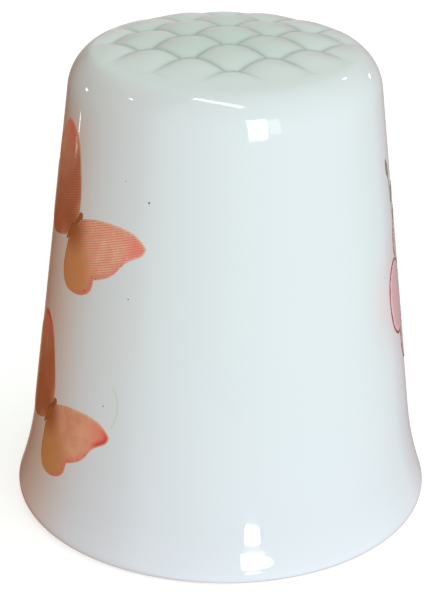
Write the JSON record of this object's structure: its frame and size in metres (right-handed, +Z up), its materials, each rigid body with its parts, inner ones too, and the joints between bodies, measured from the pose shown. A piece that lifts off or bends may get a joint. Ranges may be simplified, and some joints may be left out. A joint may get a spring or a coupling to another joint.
{
  "type": "thimble",
  "caption": "Glazed china thimble with a flared foot, a pillowed crown and fired butterfly and blossom prints on its wall.",
  "frame": {"origin": "centre of the foot ring, on the plane the thimble stands on", "axes": "+Z up along the thimble's axis to the crown; the front, between the butterflies and the blossom, faces -Y"},
  "size_m": [0.022, 0.022, 0.0254],
  "materials": {
    "biscuit_china": "unglazed biscuit, fine matt",
    "glaze": "clear glossy glaze over white china",
    "wing_enamel": "salmon and coral fired enamel print, glossy",
    "body_enamel": "brown fired enamel print, glossy",
    "petal_enamel": "pink fired enamel wash, glossy",
    "outline_enamel": "dark red fired enamel line, glossy",
    "centre_enamel": "ochre fired enamel, glossy",
    "leaf_enamel": "olive fired enamel, glossy",
    "stem_enamel": "olive brown fired enamel line, glossy"
  },
  "bodies": {
    "root": {"china_body": "biscuit_china", "outer_glaze": "glaze", "inner_glaze": "glaze", "upper_butterfly_wings": "wing_enamel", "upper_butterfly_body": "body_enamel", "lower_butterfly_wings": "wing_enamel", "lower_butterfly_body": "body_enamel", "blossom_petals": "petal_enamel", "blossom_outline": "outline_enamel", "blossom_centre": "centre_enamel", "spray_leaves": "leaf_enamel", "spray_stems": "stem_enamel"}
  },
  "joints": []
}
